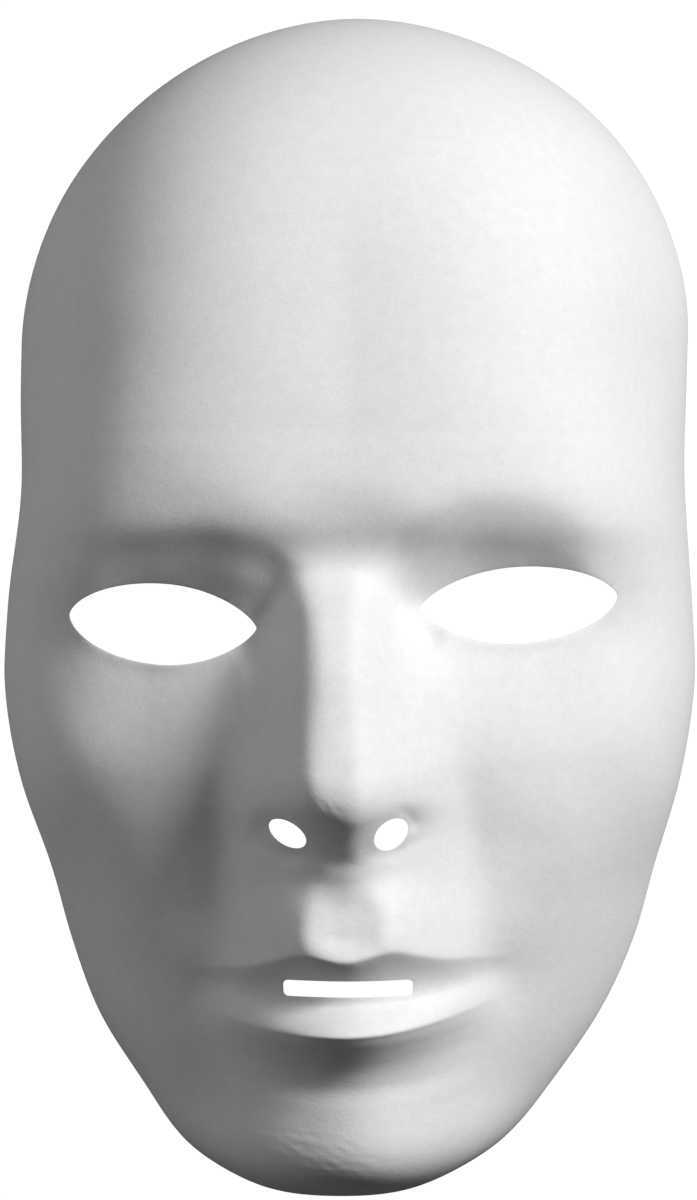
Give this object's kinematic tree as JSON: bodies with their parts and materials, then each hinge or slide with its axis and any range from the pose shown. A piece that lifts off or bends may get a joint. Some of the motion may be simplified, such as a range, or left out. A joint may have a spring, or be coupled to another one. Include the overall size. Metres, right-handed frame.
{
  "type": "neutral mask",
  "caption": "Full-face neutral mask with open eyes, nostrils and a parted mouth, a thin white shell on a flat rim.",
  "frame": {"origin": "middle of the rim's outline, in the plane of the rim", "axes": "+Y towards the crown, +Z out of the face, +X to the right as the face is looked at"},
  "size_m": [0.1412, 0.24, 0.0852],
  "materials": {
    "white_pulp": "matt white, lightly grained moulded pulp"
  },
  "bodies": {
    "root": {"mask_shell": "white_pulp"}
  },
  "joints": []
}
